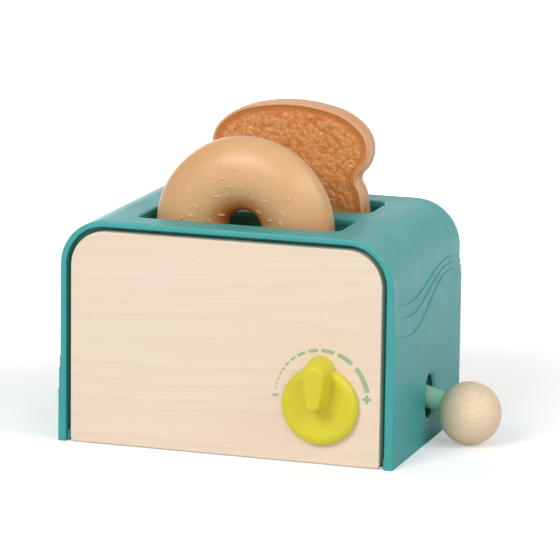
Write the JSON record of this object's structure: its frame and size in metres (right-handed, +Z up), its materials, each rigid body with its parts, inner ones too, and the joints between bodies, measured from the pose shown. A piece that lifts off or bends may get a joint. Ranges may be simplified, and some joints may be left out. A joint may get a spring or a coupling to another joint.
{
  "type": "toy toaster",
  "caption": "Toy toaster with wooden front and back, a ball lever that raises and lowers the bread, a turning dial, a bagel and a slice of toast.",
  "frame": {"origin": "middle of the flat underside of the base plate, halfway across and halfway along the shell", "axes": "+Z up, +X to the right along the front with the ball lever on the +X side, +Y from the dial front towards the back"},
  "size_m": [0.2463, 0.158, 0.1922],
  "materials": {
    "teal_plastic": "satin",
    "inner_plastic": "satin",
    "plywood": "sanded, clear matt lacquer",
    "turned_wood": "turned, waxed",
    "mint_plastic": "satin",
    "dial_plastic": "satin",
    "bush_plastic": "satin",
    "steel": "bright zinc plated",
    "bagel_plastic": "satin",
    "toast_plastic": "satin"
  },
  "bodies": {
    "housing": {"shell": "teal_plastic", "front_panel": "plywood", "rear_panel": "plywood", "base_plate": "inner_plastic", "front_well": "inner_plastic", "rear_well": "inner_plastic", "guide_posts": "steel", "pivot_bracket": "inner_plastic", "pivot_pin": "steel", "pin_clip": "steel", "dial_bush": "bush_plastic", "front_panel_screws": "steel", "rear_panel_screws": "steel", "well_screws": "steel", "bracket_screws": "steel", "base_screws": "steel"},
    "lever": {"lever_arm": "mint_plastic", "lever_ball": "turned_wood", "follower_pin": "steel"},
    "carrier": {"bread_carrier": "inner_plastic"},
    "dial": {"dial_knob": "dial_plastic", "dial_washer": "steel", "dial_screw": "steel"},
    "bagel": {"bagel_front": "bagel_plastic", "bagel_back": "bagel_plastic"},
    "toast": {"toast_front": "toast_plastic", "toast_back": "toast_plastic"}
  },
  "joints": [
    {"name": "lever_hinge", "type": "hinge", "parent": "housing", "child": "lever", "pos_m": [0.0835, 0.006, 0.0316], "axis": [0, -1, 0], "range_deg": [0, 22]},
    {"name": "carrier_slide", "type": "slide", "parent": "housing", "child": "carrier", "axis": [0, 0, 1], "range_m": [-0.0316, 0]},
    {"name": "dial_turn", "type": "hinge", "parent": "housing", "child": "dial", "pos_m": [0.0587, -0.0703, 0.039], "axis": [0, 1, 0], "range_deg": [-90, 90]},
    {"name": "bagel_lift", "type": "slide", "parent": "carrier", "child": "bagel", "axis": [0, 0, 1], "range_m": [0, 0.1]},
    {"name": "toast_lift", "type": "slide", "parent": "carrier", "child": "toast", "axis": [0, 0, 1], "range_m": [0, 0.1]}
  ],
  "couplings": [
    {"joint": "carrier_slide", "follows": "lever_hinge", "m_per_rad": -0.0821}
  ]
}
